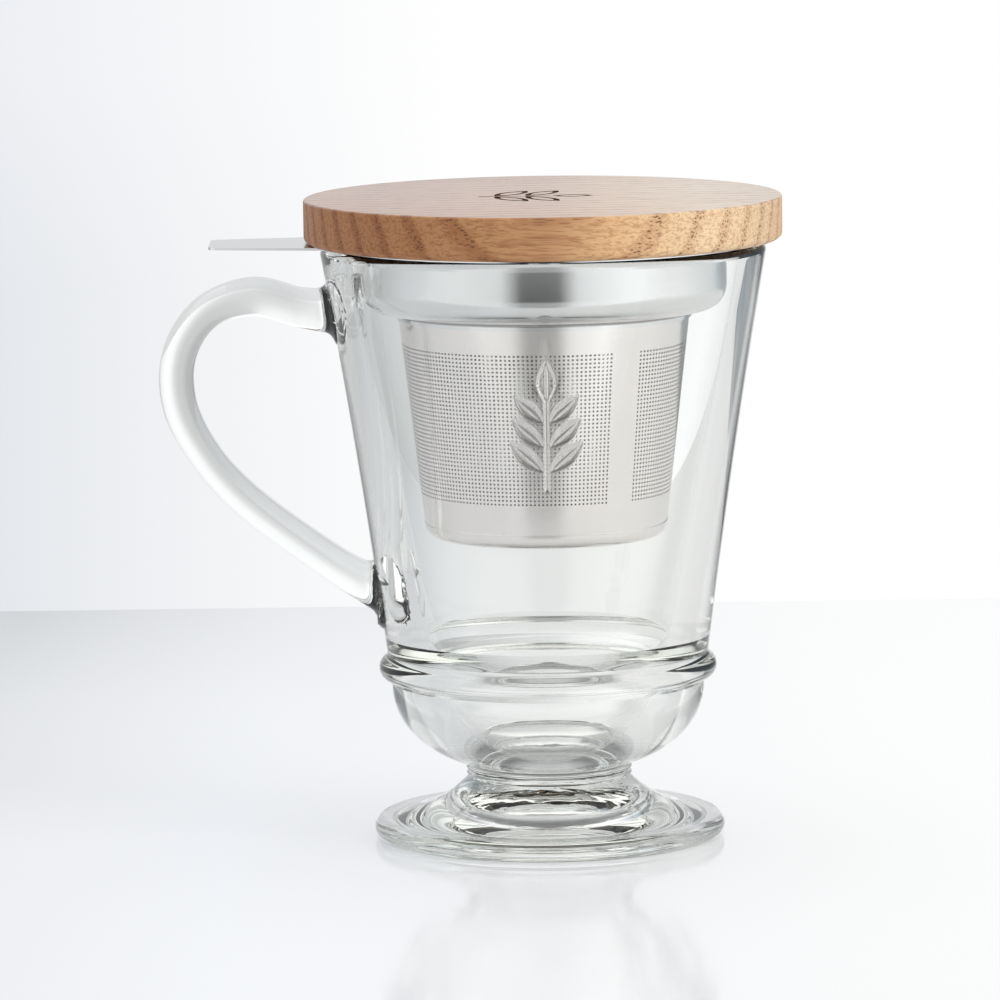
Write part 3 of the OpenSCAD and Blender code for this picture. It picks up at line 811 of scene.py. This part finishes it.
from_left = x / shade_w + 0.5
far = from_left.ramp(
    (0.0, (0.13, 0.145, 0.16)), (0.10, (0.20, 0.21, 0.23)), (0.25, (0.28, 0.29, 0.31)),
    (0.50, (0.34, 0.345, 0.355)), (0.75, (0.40, 0.40, 0.40)))
near = from_left.ramp(
    (0.0, (0.345, 0.355, 0.385)), (0.25, (0.405, 0.42, 0.45)), (0.50, (0.41, 0.415, 0.43)),
    (0.75, (0.43, 0.43, 0.43)))
glow = (y / glow_depth).ramp((0.0, 0.0), (0.55, 0.45), (1.0, 1.0)).mix(near, far)
radius_dm = (x * x + y * y).math("SQRT") * 10
# Painted shadow in a ring under the foot, with its middle left light.
painted_foot_shadow = radius_dm.ramp((0.0, 1.0), (0.08, 1.0), (0.15, 0.35), (0.24, 0.35), (0.31, 1.0))
set_surface(start, start.add("BsdfPrincipled", {}, {
    "Base Color": painted_foot_shadow.tint((shaded_share, shaded_share, shaded_share, 1)),
    "Roughness": 0.11, "Specular IOR Level": 0.3,
    "Emission Color": seen(start).mix((0.45, 0.45, 0.45, 1), painted_foot_shadow.tint(glow)),
    "Emission Strength": 1.0}))
table_top = to_object(table, "table_top", white_table)

# -------------------------------------------------------------------- studio
# Walls all round with darker stretches, a white ceiling and a dark stand in front of the mug.
# Mirrors show them all, glass bends in walls of its own tones, and the eye sees a plain backdrop.
# The light on the mug itself is softer, and comes more from the right.
world = bpy.data.worlds.new("studio")
world.use_nodes = True
world.node_tree.nodes.clear()
start = Socket(world.node_tree)
x, y, z = start.add("TexCoord", output="Generated").split()
turned = x.math("ARCTAN2", y) / (2 * pi) + 0.5


def at(azimuth):
    """Place on the ramp of a direction: 0 is straight behind the mug, and 90 is to its right."""
    return azimuth / 360 + 0.5


# What mirrors show: the walls and the stand, which fades towards its foot.
mirrored = turned.ramp(
    (at(-180), 1.0), (at(-155), 1.02), (at(-105), 1.0), (at(-70), 0.50), (at(-18), 0.62),
    (at(2), 0.82), (at(12), 0.95), (at(18), 0.30), (at(40), (0.25, 0.29, 0.32)),
    (at(50), (0.50, 0.56, 0.61)), (at(66), (0.65, 0.71, 0.75)), (at(90), 1.12),
    (at(120), 1.28), (at(162), 1.2), (at(180), 1.0))
stand = turned.ramp(
    (at(-180), 1.0), (at(-166), 1.0), (at(-154), 0.12), (at(-130), 0.0), (at(130), 0.0),
    (at(160), 0.26), (at(171), 1.0))
stand_fade = (z * -1).ramp((0.14, 1.0), (0.28, 0.55))
mirrored = (stand * stand_fade).mix(mirrored, (0.02, 0.02, 0.02, 1))

# What glass bends in: the walls only.
refracted = turned.ramp(
    (at(-180), 0.95), (at(-105), 0.80), (at(-70), 0.42), (at(-40), 0.46), (at(-18), 0.54),
    (at(-4), 0.70), (at(1), 0.85), (at(5), 1.0), (at(14), 1.12), (at(34), 1.0),
    (at(42), (0.52, 0.56, 0.59)), (at(52), (0.56, 0.61, 0.65)), (at(66), 0.88),
    (at(120), 1.0), (at(180), 0.95))
walls = ray(start, "Glossy Depth").math("GREATER_THAN", 0.5).mix(refracted, mirrored)
walls = walls.tint((0.97, 0.985, 1.0, 1))
studio = ((z - 0.45) * 5).ramp((0.0, 0.0), (1.0, 1.0)).mix(walls, (1.3, 1.3, 1.3, 1))

# The backdrop is white at the right and grey at the left, and the grey deepens towards the table.
grey_side = (z * -10).ramp((0.7, (0.85, 0.865, 0.90)), (1.0, (0.79, 0.81, 0.845)))
white_share = (x / y * 10 + 0.8).ramp((0.09, 0.0), (0.37, 0.45), (0.60, 0.78), (0.75, 1.0))
backdrop = white_share.mix(grey_side, (1.0, 1.0, 1.0, 1))
soft_light = (x / 2 + 0.5).ramp((0.0, 0.52), (1.0, 0.98))
shown = ray(start, "Is Camera Ray").mix(seen(start).mix(soft_light, studio), backdrop)
start.add("OutputWorld", {}, {0: start.add("Background", {}, {"Color": shown, "Strength": 1.0})})
bpy.context.scene.world = world


def soft_box(name, place, target, width, height, power):
    """A rectangular soft light that faces a point."""
    lamp = bpy.data.lights.new(name, "AREA")
    lamp.shape, lamp.size, lamp.size_y, lamp.energy = "RECTANGLE", width, height, power
    box = bpy.data.objects.new(name, lamp)
    box.location = place
    box.rotation_euler = (Vector(target) - Vector(place)).to_track_quat("-Z", "Y").to_euler()
    box.visible_glossy = box.visible_transmission = False
    bpy.context.scene.collection.objects.link(box)


mug_middle = (0, 0, 0.08)
soft_box("key", (1.1, -0.7, 0.9), mug_middle, 0.9, 0.9, 12.0)
soft_box("top", (0.0, 0.2, 1.3), mug_middle, 1.0, 1.0, 7.0)

# -------------------------------------------------------------------- camera
# A long lens, about 1.37 m away in front of the mug. It looks down from a little above the lid,
# and is rolled by less than a degree.
camera_place = (-0.0091, -1.365, 0.2473)
pitch_down, roll, focal_px = 7.533, 0.75, 6975
frame_px, sensor = 1000, 36.0
eye = bpy.data.cameras.new("camera")
eye.sensor_width, eye.lens = sensor, focal_px / frame_px * sensor
camera = bpy.data.objects.new("camera", eye)
aim = Matrix.Rotation(radians(90 - pitch_down), 4, "X") @ Matrix.Rotation(radians(-roll), 4, "Z")
camera.matrix_world = Matrix.Translation(camera_place) @ aim
bpy.context.scene.collection.objects.link(camera)
bpy.context.scene.camera = camera
bpy.context.scene.view_settings.view_transform = "Standard"
# Light goes round inside the thick glass many times before it comes out.
bpy.context.scene.cycles.max_bounces = bpy.context.scene.cycles.transmission_bounces = 24
bpy.context.scene.cycles.glossy_bounces = 8
